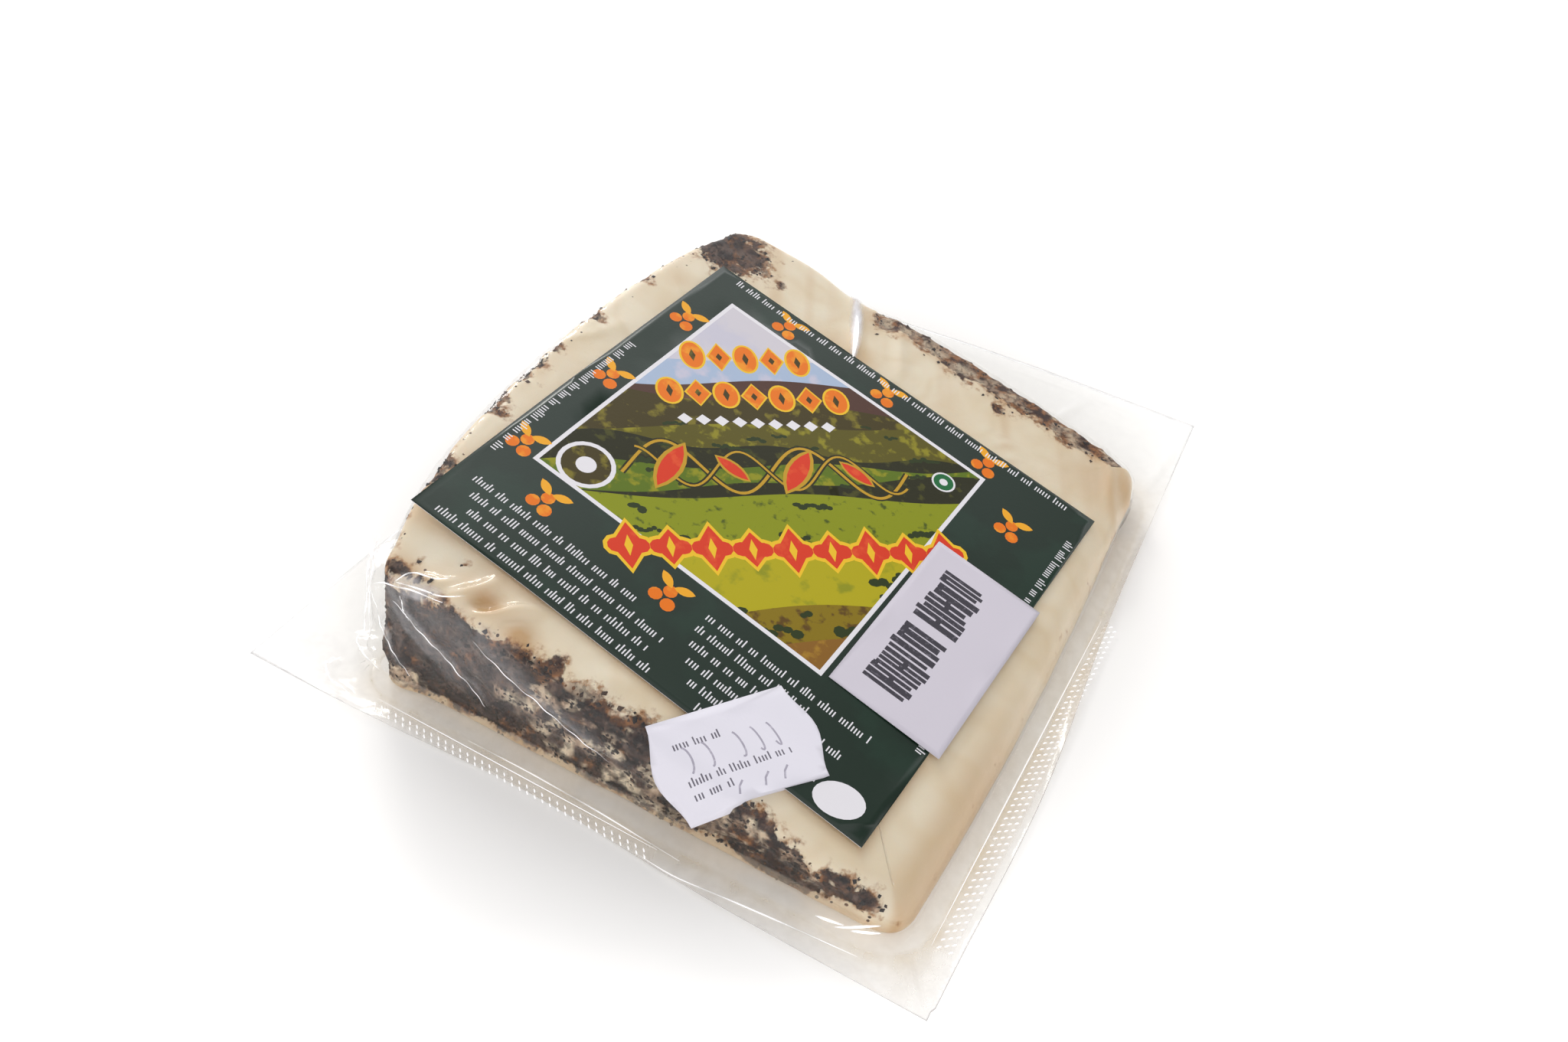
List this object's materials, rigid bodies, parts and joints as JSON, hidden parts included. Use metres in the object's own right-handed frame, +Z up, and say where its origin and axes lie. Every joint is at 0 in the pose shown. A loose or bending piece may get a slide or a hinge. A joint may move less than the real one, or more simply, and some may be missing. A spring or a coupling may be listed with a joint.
{
  "type": "vacuum packed cheese wedge",
  "caption": "Wedge of soft goat cheese with a peppered rind, sealed flat in a clear vacuum pouch with a paper label and stickers.",
  "frame": {"origin": "middle of the pouch's footprint, on the surface that it lies on", "axes": "+X from the thick heel of the wedge to its thin tip, +Y from the near peppered rind face to the far one, +Z up out of the table"},
  "size_m": [0.1294, 0.1564, 0.034],
  "materials": {
    "pouch_film": "glossy clear film over ivory cheese paste",
    "cheese_paste": "moist ivory paste with a dark peppered rind",
    "label_paper": "varnished, printed in flat colours",
    "sticker_paper": "matte, printed in grey"
  },
  "bodies": {
    "root": {"sealed_cheese_pouch": "pouch_film", "front_label": "label_paper", "flavour_sticker": "sticker_paper", "lot_sticker": "sticker_paper"}
  },
  "joints": []
}
